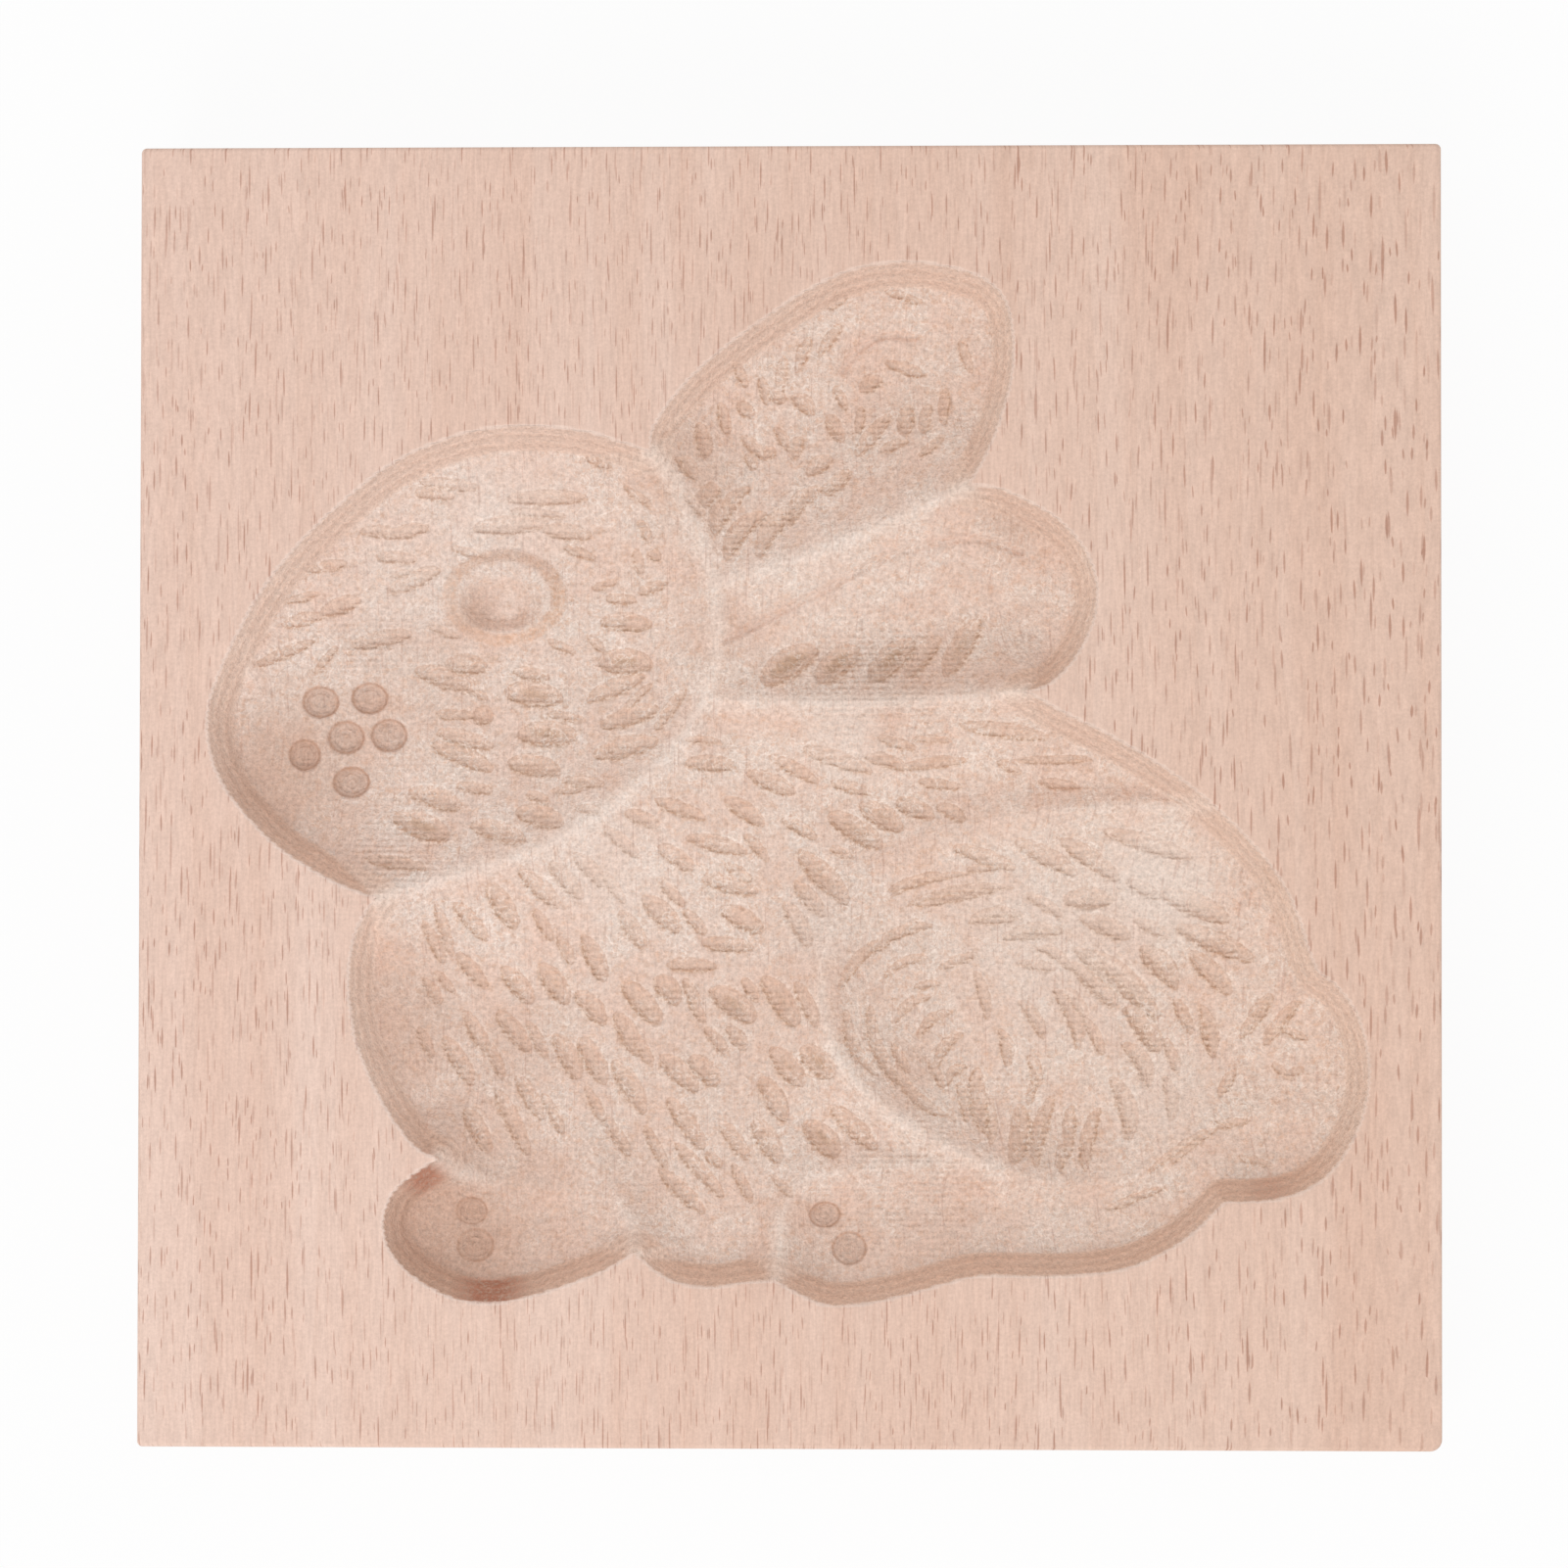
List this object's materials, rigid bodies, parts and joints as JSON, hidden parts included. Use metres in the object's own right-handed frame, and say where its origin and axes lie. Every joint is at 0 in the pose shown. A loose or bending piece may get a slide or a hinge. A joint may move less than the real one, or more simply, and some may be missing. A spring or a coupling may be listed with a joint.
{
  "type": "cookie mould",
  "caption": "Square beech board with a sitting rabbit cut into its face, for pressing shaped cookies and gingerbread.",
  "frame": {"origin": "middle of the board's flat back", "axes": "+Z out of the carved face, +X to the right of the figure, +Y to the top of the figure and along the grain"},
  "size_m": [0.12, 0.12, 0.02],
  "materials": {
    "beech": "bare wood, planed face and gouge-cut relief"
  },
  "bodies": {
    "root": {"mould_board": "beech"}
  },
  "joints": []
}
